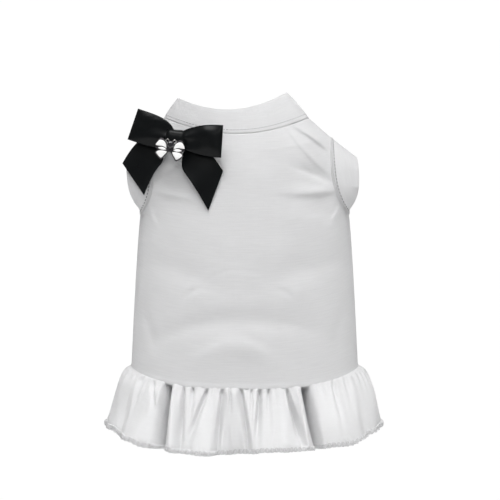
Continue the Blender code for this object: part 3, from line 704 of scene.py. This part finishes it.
# Folds of the skirt's back: place at the seam and at the hem (shares of the hem's half width, the left
# negative), half widths there, lift at seam, middle and hem (shares of the fold height), and 2 for a round
# crest or 4 for a flat one
FOLD_COLUMNS = ("top", "hem", "wide_top", "wide_hem", "lift_top", "lift_half", "lift_hem", "crest")
FOLDS = (
    (-0.940, -0.915, 0.030, 0.030, 0.0, -0.3, -0.5, 2),
    (-0.875, -0.870, 0.012, 0.030, -0.4, -0.1, 0.0, 2),
    (-0.800, -0.600, 0.014, 0.026, -0.5, -0.25, 0.0, 2),
    (-0.725, -0.800, 0.050, 0.130, 0.0, 0.8, 1.6, 2),
    (-0.665, -0.650, 0.026, 0.022, -2.0, -3.7, -3.1, 2),
    (-0.600, -0.560, 0.024, 0.040, 0.4, 0.8, 0.9, 2),
    (-0.530, -0.510, 0.013, 0.028, -0.5, -1.0, -0.5, 2),
    (-0.450, -0.430, 0.012, 0.024, -0.6, -0.15, 0.0, 2),
    (-0.400, -0.330, 0.030, 0.120, 0.1, 0.6, 1.3, 2),
    (-0.320, -0.470, 0.013, 0.032, -0.6, -0.8, 0.0, 2),
    (-0.195, -0.225, 0.014, 0.028, -0.5, -1.0, -1.4, 2),
    (-0.125, -0.100, 0.010, 0.016, -1.2, 0.0, 0.0, 2),
    (-0.110, -0.095, 0.050, 0.100, 1.1, 0.0, -1.7, 4),
    (-0.030, 0.040, 0.014, 0.028, -0.6, -1.0, -1.3, 2),
    (0.060, 0.060, 0.010, 0.016, -0.4, -0.1, 0.0, 2),
    (0.135, 0.090, 0.012, 0.034, -0.6, -0.8, -0.3, 2),
    (0.210, 0.200, 0.010, 0.024, -0.5, -0.1, 0.0, 2),
    (0.290, 0.300, 0.030, 0.140, 0.1, 0.6, 1.3, 2),
    (0.365, 0.460, 0.012, 0.028, -0.6, -1.2, -0.3, 2),
    (0.450, 0.485, 0.022, 0.034, 0.4, 0.8, 0.9, 2),
    (0.525, 0.575, 0.028, 0.022, -2.1, -3.8, -3.2, 2),
    (0.630, 0.770, 0.050, 0.140, 0.0, 0.8, 1.6, 2),
    (0.770, 0.720, 0.014, 0.026, -0.5, -0.3, 0.0, 2),
    (0.855, 0.850, 0.012, 0.028, -0.4, -0.1, 0.0, 2),
    (0.930, 0.900, 0.030, 0.030, 0.0, -0.2, -0.3, 2),
)


def fold_lift(u, t):
    """Sum of the back's folds, each lift·exp(-|(u - middle)/width|^crest). Its middle, width and lift change
    from the seam (t = 0) to the hem."""
    total = np.zeros(np.broadcast(u, t).shape)
    for row in FOLDS:
        fold = dict(zip(FOLD_COLUMNS, row))
        middle = fold["top"] + (fold["hem"] - fold["top"]) * t
        width = fold["wide_top"] + (fold["wide_hem"] - fold["wide_top"]) * t
        lift = fold["lift_top"] * (1 - t) * (1 - 2 * t) + 4 * fold["lift_half"] * t * (1 - t)
        lift = lift + fold["lift_hem"] * t * (2 * t - 1)
        total += lift * np.exp(-(np.abs((u - middle) / width) ** fold["crest"]))
    return total


def skirt_points(back_columns, belly_columns, t):
    """The gathered skirt from its seam (t = 0) down to its hem: the hem's oval pushed out along its own
    normals by a flare, the large folds, fine gathers that die out below the seam, soft unevenness and a
    ripple along the hem. The hem waves up and down a little, and rises to one side of the back's middle."""
    u, side, section = ring_sides(back_columns, belly_columns)
    low = t.clip(0)
    depth = by_side(side, BACK_DEPTH, BELLY_DEPTH)
    outward = np.stack((u / HEM_HALF_WIDTH, side * section / depth))
    outward = outward / np.linalg.norm(outward, axis=0)
    flutes = 0.9 * np.sin(math.pi * BELLY_FLUTES * (u + 1)) * low**0.7 * (1 - np.abs(u) ** 6)
    folds = FOLD_HEIGHT * np.where(side == BACK, fold_lift(u, low), flutes) * np.clip(11 * low, 0, 1)
    x = TRUNK_SHIFT + HEM_HALF_WIDTH * u
    y = side * depth * section
    round_hem = np.concatenate(([0], np.cumsum(np.hypot(np.diff(x), np.diff(y)))))
    level = 0 * round_hem
    gather = np.sin(2 * math.pi * round_hem / GATHER_PITCH + 2.5 * ripple(round_hem, level, 0.030, 5))
    fine = GATHER_HEIGHT * gather * np.exp(-low / 0.16) * np.clip(0.15 + 9 * low, 0, 1)
    soft = SKIRT_RIPPLE * ripple(x[None] * 2.2, y[None] + 0.03 * low, 0.026, 12) * low**0.5
    edge = np.clip((low - EDGE_START) / 0.14, 0, 1) ** 2
    stretched = 2 * math.pi * round_hem / HEM_RIPPLE_PITCH + 3 * ripple(round_hem, level, 0.024, 6)
    hem = HEM_RIPPLE * np.sin(stretched) * edge
    flare = SKIRT_FLARE * low ** (0.85 - 0.4 * u**2)
    out = flare + folds + fine + soft + hem - SKIRT_INSET
    middle = dip_shape(u, BODY_DROP)
    hem_dip = by_side(side, HEM_BACK_DIP, -HEM_BELLY_RISE) * middle
    waves = HEM_WAVE * ripple(round_hem, level, 0.011, 9) * edge
    rise = by_side(side, HEM_RISE, 0) * np.exp(-(((u - HEM_RISE_PLACE) / HEM_RISE_WIDTH) ** 2)) * low
    z = -BODY_DROP - hem_dip - (SKIRT_LENGTH + SKIRT_MIDDLE_DROP * middle) * t + waves + rise
    return np.stack(np.broadcast_arrays(x + out * outward[0], y + out * outward[1], z), axis=-1)


skirt_rows = np.concatenate(([-SKIRT_TUCK, -0.02], np.linspace(0, 1, 46) ** 1.25))[:, None]
skirt_grid = skirt_points(700, 320, skirt_rows)
# A lighter copy of the same jersey, as painted light on the skirt.
lit_frill_jersey = jersey("white_jersey_frill_painted_lighter", LIT_FRILL_WHITE, LIT_FRILL_SHADE)
skirt = piece(
    "skirt_cloth", skirt_grid[::-1], lit_frill_jersey,
    closed=True, wall=SKIRT_PLY, node="skirt",
)


# The overlocking on the skirt's edge: thread looped over the cut edge in one coil, a little greyer than the
# cloth.

EDGING_WIDTH = 0.0040
EDGING_PITCH = 0.0013
EDGING_RADIUS = 0.00030
EDGING_WRAP = 0.0008
EDGING_OVERHANG = 0.0004

grey_thread, grey_shader, grey_place, _ = finish_material("overlock_thread", 0.7, Sheen_Weight=0.2)
ply = grey_place.noise(900.0, 3.0)
feed(
    grey_shader,
    Base_Color=ply.mix((0.42, 0.42, 0.425), (0.86, 0.86, 0.865)),
    Normal=ply.bump(Distance=0.00005),
)


def tube(path, radius, sides=5):
    """Rings of a round thread along a path: each is the path's point + radius·(side·cos + up·sin)."""
    along = unit(np.gradient(path, axis=0))
    side = unit(np.cross(along, np.array((0.13, 0.31, 0.94))))
    up = np.cross(along, side)
    turn = np.arange(sides)[None, :, None] * 2 * math.pi / sides
    return path[:, None] + radius * (side[:, None] * np.cos(turn) + up[:, None] * np.sin(turn))


def ring_tube(path, radius, sides=8):
    """A round thread or wire along a closed path, whose last ring lies on its first."""
    around = np.concatenate((path[-1:], path, path[:2]))
    return tube(around, radius, sides)[1:-1]


def overlock(edge, up, out):
    """A coil over the cloth's edge. With s the length along it, its point is edge + along·lean
    + up·((width/2)(1 - cos 2πs/pitch) - overhang) + out·(wrap·sin 2πs/pitch - half the cloth's ply)."""
    run = lengths(edge[None], 1)[0]
    s = np.arange(0, run[-1], EDGING_PITCH / 10)
    edge, up, out = (path_at(values, run, s) for values in (edge, up, out))
    turn = (2 * math.pi * s / EDGING_PITCH)[:, None]
    lean = 0.5 * EDGING_PITCH * (1 - np.cos(turn))
    across = EDGING_WIDTH / 2 * (1 - np.cos(turn)) - EDGING_OVERHANG
    along = unit(np.gradient(edge, axis=0))
    return edge + up * across + out * (EDGING_WRAP * np.sin(turn) - SKIRT_PLY / 2) + along * lean


hem_edge = skirt_grid[-1]
hem_up = unit(skirt_grid[-6] - hem_edge)
hem_out = normals_of(skirt_grid[::-1], True)[0]
coil = overlock(*closed_up(hem_edge, hem_up, hem_out))
edging = piece("skirt_edging", tube(coil, EDGING_RADIUS), grey_thread, closed=True)


# The bow: black satin ribbon 26 mm wide. Two tails lie on the cloth with their ends cut at a slant, two loops
# stand out over them, and a short wrap of the same ribbon draws them together.

BOW_X = -0.0479
BOW_Z = -0.0174
BOW_TURN = 0.30
RIBBON_WIDTH = 0.0260
RIBBON_PLY = 0.0005
LOOP_LENGTH = 0.0368
LOOP_HALF_THICKNESS = 0.0052
LOOP_ANGLES = {"left": 161.0, "right": -3.7}
LOOP_FULLNESS = (2.6, 4.6)
TAIL_RISE = 0.0003
TAILS = {
    "left": {
        "start": (-0.62, -0.30), "bend": (-0.865, -0.154), "end": (-1.327, -1.238),
        "slant": 0.323, "cut": 0.048,
    },
    "right": {
        "start": (0.55, -0.66), "bend": (0.577, -0.5), "end": (1.212, -1.6),
        "slant": -0.412, "cut": 0.050,
    },
}
KNOT_WIDTH = 0.0112
KNOT_HEIGHT = 0.0150
KNOT_FRONT = 0.0118
KNOT_ANGLE = -10.0

satin, satin_shader, satin_place, satin_map = finish_material(
    "black_satin_ribbon", 0.30, Specular_IOR_Level=0.15, Anisotropic=0.3
)
warp = satin_map.node("ShaderNodeMapping", inputs={"Vector": satin_map, "Scale": (900.0, 5200.0, 1.0)})
threads = warp.noise(1.0, 2.0)
haze = satin_place.noise(90.0, 2.0)
feed(
    satin_shader,
    Base_Color=(threads * 0.6 + haze * 0.4).mix((0.0015, 0.0018, 0.0022), (0.0045, 0.0055, 0.006)),
    Roughness=haze * 0.14 + 0.24,
    Normal=threads.bump(Distance=0.00004, Strength=0.6),
)


def on_bow(points, depth):
    """Moves points from the bow's plane (x across, y outwards, z up) to the shoulder, which turns it."""
    x, out, z = np.moveaxis(points, -1, 0)
    return np.stack((BOW_X + x, depth - BOW_TURN * x - out, BOW_Z + z), axis=-1)


def squared(value, power):
    """The value raised to a power, with its sign kept."""
    return np.sign(value) * np.abs(value) ** power


def loop_points(angle, p, b):
    """A ribbon loop: out from the knot and back behind itself as p goes from 0 to 1, b across the ribbon. It
    opens along the sine of p and widens from the knot by its fullness. Pleats run out from the knot, and a
    soft ripple dents both layers."""
    reach = np.sin(math.pi * p).clip(0) ** 0.6
    start = 0.25 * KNOT_WIDTH
    along = start + (LOOP_LENGTH - start) * reach
    turn = np.cos(math.pi * p)
    layer = squared(turn, 0.7) * (0.5 + 0.5 * reach)
    spread = 0.5 * RIBBON_WIDTH * (0.42 + 0.58 * (1 - (1 - reach) ** LOOP_FULLNESS[angle > 90]))
    pleat = 0.22 * np.cos(math.pi * (1.6 * b + 0.9 * reach + 0.3)) * (1 - reach) ** 1.2 * np.sign(turn)
    dent = 0.32 * ripple(along, spread * b, 0.017, 31 + int(angle)) * reach * (1.2 - reach) * np.sign(turn)
    out = LOOP_HALF_THICKNESS * (1.15 + layer * (1 - 0.62 * b**2) + pleat + dent)
    turned = math.radians(angle)
    across = -spread * b
    x = along * math.cos(turned) - across * math.sin(turned)
    z = along * math.sin(turned) + across * math.cos(turned)
    return np.stack(np.broadcast_arrays(x, out, z), axis=-1)


def tail_plane(tail, t, b):
    """A ribbon tail in the bow's plane: a curve from the knot past its bend to its slanted end."""
    start = np.array(tail["start"]) * (KNOT_WIDTH, KNOT_HEIGHT)
    bend, end = np.array(tail["bend"]) * RIBBON_WIDTH, np.array(tail["end"]) * RIBBON_WIDTH
    slant = tail["slant"] * RIBBON_WIDTH
    middle = (1 - t)[..., None] ** 2 * start + 2 * (t * (1 - t))[..., None] * bend + (t**2)[..., None] * end
    course = unit((1 - t)[..., None] * (bend - start) + t[..., None] * (end - bend))
    side = np.stack((-course[..., 1], course[..., 0]), axis=-1)
    spread = 0.5 * RIBBON_WIDTH * (0.30 + 0.70 * np.sin(0.5 * math.pi * np.clip(t / 0.5, 0, 1)))
    return middle - side * (spread * b)[..., None] - course * (slant * b * t**3)[..., None]


def powers(x, z):
    """Columns x^i·z^j up to the fourth degree, for fitting a smooth sheet."""
    x, z = 20 * (x - BOW_X), 20 * (z - BOW_Z)
    return np.stack([x**i * z**j for i in range(5) for j in range(5 - i)], axis=-1)


def depth_of_node(node, x, z):
    """The depth of the node's middle surface at x, z: a fourth-degree sheet fitted to its corners."""
    mesh = frame["nodes"][node].data
    corners = np.empty(len(mesh.vertices) * 3)
    mesh.vertices.foreach_get("co", corners)
    corners = corners.reshape(-1, 3)
    fit = np.linalg.lstsq(powers(corners[:, 0], corners[:, 2]), corners[:, 1], rcond=None)[0]
    return powers(x, z) @ fit


knot_low, knot_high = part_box("bow_knot")
bow_depth = knot_low[1] + KNOT_FRONT
across_ribbon = np.linspace(-1, 1, 29)[None, :]
for hand_name, tail in TAILS.items():
    plane = tail_plane(tail, np.linspace(0, 1, 48)[:, None], across_ribbon)
    x, z = BOW_X + plane[..., 0], BOW_Z + plane[..., 1]
    y = depth_of_node(f"bow_tail_{hand_name}", x, z) - TAIL_RISE
    tail_cloth = piece(
        f"bow_tail_{hand_name}_ribbon", np.stack((x, y, z), axis=-1), satin,
        wall=RIBBON_PLY, node=f"bow_tail_{hand_name}",
    )
for hand_name, angle in LOOP_ANGLES.items():
    grid = on_bow(loop_points(angle, np.linspace(0, 1, 90)[:, None], across_ribbon), bow_depth)
    loop = piece(
        f"bow_loop_{hand_name}_ribbon", grid, satin,
        wall=RIBBON_PLY, node=f"bow_loop_{hand_name}",
    )


def knot_points(columns, rows):
    """The wrap round the bow's middle: a squared ball pinched to its width, with pleats running round it."""
    a = np.linspace(0, math.pi, rows)[:, None]
    b = np.arange(columns)[None, :] * 2 * math.pi / columns
    pleats = 1 + 0.05 * np.cos(5 * a + 0.6) * np.sin(a) ** 2
    across = 0.76 * KNOT_WIDTH * squared(np.cos(a), 0.8) * np.ones_like(b)
    up = 0.5 * KNOT_HEIGHT * squared(np.sin(a), 0.40) * squared(np.sin(b), 0.75) * pleats
    out = squared(np.sin(a), 0.35) * squared(np.cos(b), 0.75) * pleats
    turned = math.radians(KNOT_ANGLE)
    middle, reach = 0.5 * (knot_low[1] + knot_high[1]), 0.5 * (knot_high[1] - knot_low[1])
    x = BOW_X + across * math.cos(turned) - up * math.sin(turned)
    z = BOW_Z + across * math.sin(turned) + up * math.cos(turned)
    return np.stack((x, middle + reach * out, z), axis=-1)


piece("bow_knot_wrap", knot_points(64, 40), satin, closed=True, node="bow_knot")


# The charm: a little bow of black nickel with six fields of white enamel, four of them in raised rims, a cut
# black glass stone in its middle and two small silver rings. A post on its back is sewn to the bow's knot.

CHARM_X = -0.0529
CHARM_Z = -0.0265
CHARM_TILT = -8.0
CHARM_HALF_WIDTH = 0.0118
PLATE_WALL = 0.0012
STONE_RADIUS = 0.0032
STONE_HEIGHT = 0.0026
STONE_UP = 0.36
STONE_SIDES = 16
CHARM_GAP = 0.0003
RIM_RADIUS = 0.00024
RIM_HEIGHT = 0.0004
RING_PLACE = (0.24, 0.60)
RING_RADIUS = 0.0013
RING_WIRE = 0.00022
RING_LEAN = 0.0005
PLATE_OUTLINE = (
    (0.0, 0.61), (0.21, 0.55), (0.56, 0.71), (0.82, 0.67), (1.0, 0.22), (0.99, 0.05), (0.83, -0.05),
    (0.97, -0.31), (0.54, -0.70), (0.29, -0.46), (0.10, -0.17), (0.0, -0.13),
)
ENAMEL_OUTLINES = {
    "loop": (
        (0.25, 0.11), (0.33, 0.42), (0.56, 0.59), (0.80, 0.56), (0.98, 0.24), (0.82, 0.19), (0.56, 0.20),
    ),
    "fold": ((0.21, 0.02), (0.45, 0.13), (0.70, 0.12), (0.82, 0.04), (0.64, -0.05), (0.40, -0.06)),
    "tail": ((0.17, -0.11), (0.72, -0.11), (0.90, -0.30), (0.55, -0.61), (0.35, -0.44)),
}

nickel, nickel_shader, nickel_place, _ = finish_material("black_nickel_plate", 0.28, 1.0)
tarnish = nickel_place.noise(700.0, 4.0)
dark_metal = tarnish.mix((0.035, 0.032, 0.035), (0.09, 0.085, 0.09))
feed(nickel_shader, Base_Color=dark_metal, Roughness=tarnish * 0.3 + 0.16)
enamel, enamel_shader, enamel_place, _ = finish_material(
    "white_enamel_fill", 0.14, Coat_Weight=0.6, Coat_Roughness=0.05
)
feed(enamel_shader, Base_Color=enamel_place.noise(500.0, 3.0).mix((0.84, 0.83, 0.82), (0.90, 0.90, 0.89)))
jet, jet_shader, jet_place, _ = finish_material("jet_glass_stone", 0.05, Coat_Weight=0.5)
feed(jet_shader, Base_Color=jet_place.noise(600.0, 2.0).mix((0.008, 0.008, 0.010), (0.016, 0.015, 0.018)))
silver, silver_shader, silver_place, _ = finish_material("silver_wire", 0.2, 1.0)
scuff = silver_place.noise(1500.0, 3.0)
feed(silver_shader, Base_Color=scuff.mix((0.55, 0.54, 0.52), (0.8, 0.79, 0.77)), Roughness=scuff * 0.3 + 0.1)

charm_back = knot_low[1] - CHARM_GAP


def on_charm(across, up, out):
    """Moves points from the charm's own frame (shares of its half width, metres out from its back)."""
    turn = math.radians(-CHARM_TILT)
    x, z = across * CHARM_HALF_WIDTH, up * CHARM_HALF_WIDTH
    parts = (CHARM_X + x * math.cos(turn) + z * math.sin(turn), charm_back - out,
             CHARM_Z - x * math.sin(turn) + z * math.cos(turn))
    return np.stack(np.broadcast_arrays(*parts), axis=-1)


def smooth_outline(corners, steps=8):
    """A closed outline through the corners: cubics whose end slopes point from neighbour to neighbour."""
    here = np.array(corners, float)[:, None]
    before, after, beyond = np.roll(here, 1, 0), np.roll(here, -1, 0), np.roll(here, -2, 0)
    t = (np.arange(steps) / steps)[None, :, None]
    slope, next_slope = 0.42 * (after - before), 0.42 * (beyond - here)
    cubic = (2 * t**3 - 3 * t**2 + 1) * here + (t**3 - 2 * t**2 + t) * slope
    cubic = cubic + (3 * t**2 - 2 * t**3) * after + (t**3 - t**2) * next_slope
    return cubic.reshape(-1, 2)


def lens_shape(outline, centre, shares, heights):
    """Rings of the outline drawn in towards its centre by the shares, each at its own height."""
    ring = np.array(centre) + (outline - centre)[None] * np.array(shares)[:, None, None]
    return on_charm(ring[..., 0], ring[..., 1], np.array(heights)[:, None])


plate_corners = PLATE_OUTLINE + tuple((-across, up) for across, up in PLATE_OUTLINE[-2:0:-1])
plate_shares = (0, 0.9, 0.97, 1.0, 1.0, 0.97, 0.9, 0)
plate_heights = tuple(share * PLATE_WALL for share in (0, 0, 0.05, 0.25, 0.75, 0.95, 1.0, 1.0))
piece(
    "charm_plate_metal",
    lens_shape(smooth_outline(plate_corners), (0.0, 0.2), plate_shares, plate_heights),
    nickel, closed=True, node="charm_plate",
)
enamel_shares = (0, 1.0, 1.0, 0.97, 0.9, 0.7, 0.4, 0)
enamel_rise = (-0.0002, -0.0002, 0.0002, 0.00042, 0.00058, 0.0007, 0.00078, 0.0008)
enamel_heights = [PLATE_WALL + height for height in enamel_rise]
for field_name, right in ENAMEL_OUTLINES.items():
    for hand_name, hand in HANDS.items():
        outline = smooth_outline([(hand * across, up) for across, up in right])
        outline = outline if hand < 0 else outline[::-1]
        piece(
            f"enamel_{field_name}_{hand_name}_fill",
            lens_shape(outline, outline.mean(axis=0), enamel_shares, enamel_heights),
            enamel, closed=True, node=f"enamel_{field_name}_{hand_name}",
        )
        if field_name != "loop":
            rim = on_charm(outline[:, 0], outline[:, 1], PLATE_WALL + RIM_HEIGHT)
            piece(
                f"charm_rim_{field_name}_{hand_name}", ring_tube(rim, RIM_RADIUS), nickel,
                closed=True,
            )

ring_turn = np.linspace(0, 2 * math.pi, 33)[:-1]
for hand_name, hand in HANDS.items():
    ring_across = RING_PLACE[0] * hand + RING_RADIUS / CHARM_HALF_WIDTH * np.cos(ring_turn)
    ring_up = RING_PLACE[1] + RING_RADIUS / CHARM_HALF_WIDTH * np.sin(ring_turn)
    circle = on_charm(ring_across, ring_up, PLATE_WALL + RIM_HEIGHT + RING_LEAN * np.sin(ring_turn))
    piece(f"charm_ring_{hand_name}", ring_tube(circle, RING_WIRE), silver, closed=True)

stone_turn = np.arange(STONE_SIDES) * 2 * math.pi / STONE_SIDES
STONE_RINGS = ((0, 0.0), (0.82, 0.0), (1.0, 0.34), (0.98, 0.42), (0.78, 0.80), (0.52, 1.0), (0, 1.0))
stone_shares, stone_levels = np.transpose(STONE_RINGS)[..., None]
stone_radius = stone_shares * STONE_RADIUS / CHARM_HALF_WIDTH
stone_across, stone_up = stone_radius * np.cos(stone_turn), STONE_UP + stone_radius * np.sin(stone_turn)
stone = piece(
    "charm_stone_cut", on_charm(stone_across, stone_up, PLATE_WALL + stone_levels * STONE_HEIGHT), jet,
    closed=True, node="charm_stone",
)
stone.data.shade_flat()


# The camera stands square to the back at a long way off, with a long lens, so that 500 pixels take in 0.4 m
# at the dress. Soft lights stand high at the left and the right, a weaker one stands in front, and a weak one
# behind fills the belly, in an even white surround over a pale floor.

VIEW_PIXELS = 500
SENSOR_WIDTH = 36
SURROUND_STRENGTH = 0.30
PIXEL = 0.0008
VIEW_CENTRE = (0.01088, -0.106)
LENS = 400
DISTANCE = VIEW_PIXELS * PIXEL * LENS / SENSOR_WIDTH
FLOOR_HEIGHT = -0.42
FLOOR_RADIUS = 1.2
BACKDROP_RADIUS = 14
DRESS_CENTRE = (0, 0, -0.1)


def soft_light(name, place, size, power):
    """A round soft light that faces the dress."""
    data = bpy.data.lights.new(name, "AREA")
    data.shape, data.size, data.energy = "DISK", size, power
    made = in_scene(name, data)
    made.location = place
    made.rotation_euler = (Vector(place) - Vector(DRESS_CENTRE)).to_track_quat("Z", "Y").to_euler()


camera = in_scene("camera", bpy.data.cameras.new("camera"))
camera.data.lens = LENS
camera.data.clip_end = 30
camera.location = (VIEW_CENTRE[0], -0.02 - DISTANCE, VIEW_CENTRE[1])
camera.rotation_euler = (math.pi / 2, 0, 0)
bpy.context.scene.camera = camera

world = bpy.data.worlds.new("white surround")
bpy.context.scene.world = world
world.use_nodes = True
surround = world.node_tree.nodes["Background"].inputs
surround["Color"].default_value = (1, 1, 1, 1)
surround["Strength"].default_value = SURROUND_STRENGTH
bpy.context.scene.view_settings.view_transform = "Standard"
soft_light("left high light", (-0.8, -1.5, 3.4), 2.4, 86)
soft_light("middle light", (0.1, -4.0, 2.0), 1.6, 30)
soft_light("belly fill light", (0.3, 2.4, 1.6), 2.0, 22)
soft_light("right high light", (0.9, -1.5, 3.4), 2.4, 86)


def stage_object(name, finish, build, **measures):
    """An object of the stage, of the form that a bmesh operator builds."""
    form = bmesh.new()
    build(form, **measures)
    data = bpy.data.meshes.new(name)
    form.to_mesh(data)
    form.free()
    data.materials.append(finish)
    return in_scene(name, data)


glowing_white = finish_material(
    "white_backdrop", 0.5, Base_Color=(0, 0, 0, 1), Emission_Color=(1, 1, 1, 1), Emission_Strength=1.0
)[0]
backdrop = stage_object(
    "white_backdrop", glowing_white, bmesh.ops.create_icosphere, subdivisions=4, radius=BACKDROP_RADIUS
)
backdrop.visible_diffuse = backdrop.visible_glossy = backdrop.visible_shadow = False

pale_floor = finish_material("pale_floor", 0.9, Base_Color=(0.9, 0.9, 0.9, 1))[0]
floor = stage_object(
    "floor", pale_floor, bmesh.ops.create_circle, cap_ends=True, segments=96, radius=FLOOR_RADIUS
)
floor.location = (0, 0, FLOOR_HEIGHT)
